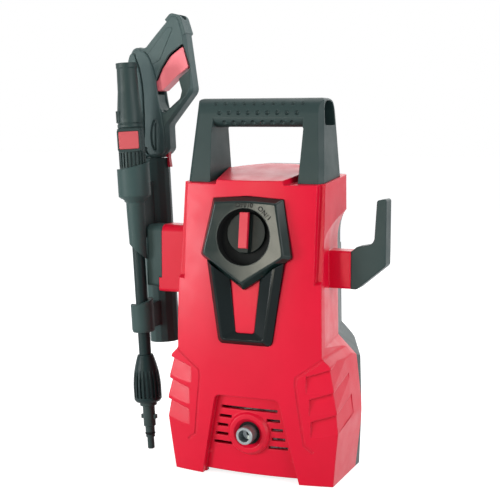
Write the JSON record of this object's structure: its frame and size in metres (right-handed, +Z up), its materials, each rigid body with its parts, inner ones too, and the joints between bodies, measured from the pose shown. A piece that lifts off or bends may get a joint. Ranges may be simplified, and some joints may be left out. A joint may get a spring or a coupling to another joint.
{
  "type": "pressure washer",
  "caption": "Compact upright electric pressure washer with carrying handle, rotary switch, hose hook and a side holder that stores its spray gun and lance.",
  "frame": {"origin": "on the ground under the middle of the housing, at the underside of the base plate", "axes": "+Z up, -Y toward the front with the switch, +X toward the hose hook"},
  "size_m": [0.348, 0.2251, 0.5444],
  "materials": {
    "red_plastic": "satin moulded plastic with a fine grain",
    "dark_plastic": "matt moulded plastic with a fine grain",
    "black_gloss": "polished",
    "bright_steel": "polished",
    "steel": "machined",
    "cast_alloy": "as cast",
    "rubber": "matt",
    "brass": "turned",
    "carbon": "pressed carbon"
  },
  "bodies": {
    "machine": {"accessory_holder": "dark_plastic", "base_plate": "dark_plastic", "cable_gland": "dark_plastic", "capacitor": "cast_alloy", "carbon_brushes": "carbon", "carry_handle": "dark_plastic", "casing_screws": "steel", "front_casing": "red_plastic", "front_trim": "black_gloss", "hose_hook": "dark_plastic", "inlet_filter": "steel", "motor_bearings": "steel", "motor_can": "steel", "motor_end_cap": "dark_plastic", "motor_flange": "cast_alloy", "motor_stator": "steel", "outlet_nipple": "bright_steel", "outlet_seal": "rubber", "piston_seals": "rubber", "piston_springs": "steel", "pistons": "steel", "pressure_switch": "dark_plastic", "pump_bolts": "steel", "pump_head": "cast_alloy", "pump_housing": "cast_alloy", "rear_cover": "dark_plastic", "rotary_switch": "dark_plastic", "switch_bezel": "black_gloss", "water_inlet": "dark_plastic"},
    "knob": {"switch_knob": "black_gloss", "knob_pointer": "red_plastic", "switch_spindle": "steel"},
    "rotor": {"motor_rotor": "steel", "commutator": "brass", "cooling_fan": "dark_plastic", "swash_plate": "steel", "thrust_bearing": "steel"},
    "lance": {"lance_tube": "dark_plastic", "lance_nut": "dark_plastic", "lance_plug": "dark_plastic", "plug_ring": "rubber", "nozzle_head": "dark_plastic", "nozzle_tip": "brass", "button_spring": "steel"},
    "spray_collar": {"vario_nozzle": "dark_plastic"},
    "head_button": {"nozzle_button": "red_plastic"},
    "gun": {"gun_shell_front": "dark_plastic", "gun_shell_rear": "dark_plastic", "grip_inlays": "dark_plastic", "trigger_pin": "steel", "gun_valve": "brass", "gun_barrel": "dark_plastic", "gun_inlet": "dark_plastic"},
    "trigger": {"gun_trigger": "red_plastic"},
    "latch": {"gun_latch": "red_plastic"}
  },
  "joints": [
    {"name": "switch_turn", "type": "hinge", "parent": "machine", "child": "knob", "pos_m": [0, -0.10585, 0.28996], "axis": [0, 0.9914, -0.1305], "range_deg": [0, 45]},
    {"name": "motor_spin", "type": "hinge", "parent": "machine", "child": "rotor", "pos_m": [0, 0.005, 0.15], "axis": [0, 0, 1], "continuous": true},
    {"name": "lance_out", "type": "slide", "parent": "machine", "child": "lance", "axis": [-0.8177, 0.5736, -0.0494], "range_m": [0, 0.08]},
    {"name": "collar_turn", "type": "hinge", "parent": "lance", "child": "spray_collar", "pos_m": [-0.17341, -0.05, 0.43922], "axis": [-0.0603, 0, 0.9982], "range_deg": [0, 90]},
    {"name": "head_button_press", "type": "slide", "parent": "lance", "child": "head_button", "axis": [-0.3085, 0.9511, -0.0186], "range_m": [0, 0.0025], "stiffness_N_per_m": 600, "deforming": ["button_spring"]},
    {"name": "gun_lift", "type": "slide", "parent": "machine", "child": "gun", "axis": [-0.0603, 0, 0.9982], "range_m": [0, 0.1]},
    {"name": "trigger_pull", "type": "hinge", "parent": "gun", "child": "trigger", "pos_m": [-0.1605, 0.002, 0.4555], "axis": [0, -1, 0], "range_deg": [0, 12], "stiffness_Nm_per_rad": 1.2, "springref_deg": -5.73},
    {"name": "latch_slide", "type": "slide", "parent": "gun", "child": "latch", "axis": [0, 0, 1], "range_m": [0, 0.003], "stiffness_N_per_m": 400, "springref_m": -0.001}
  ]
}
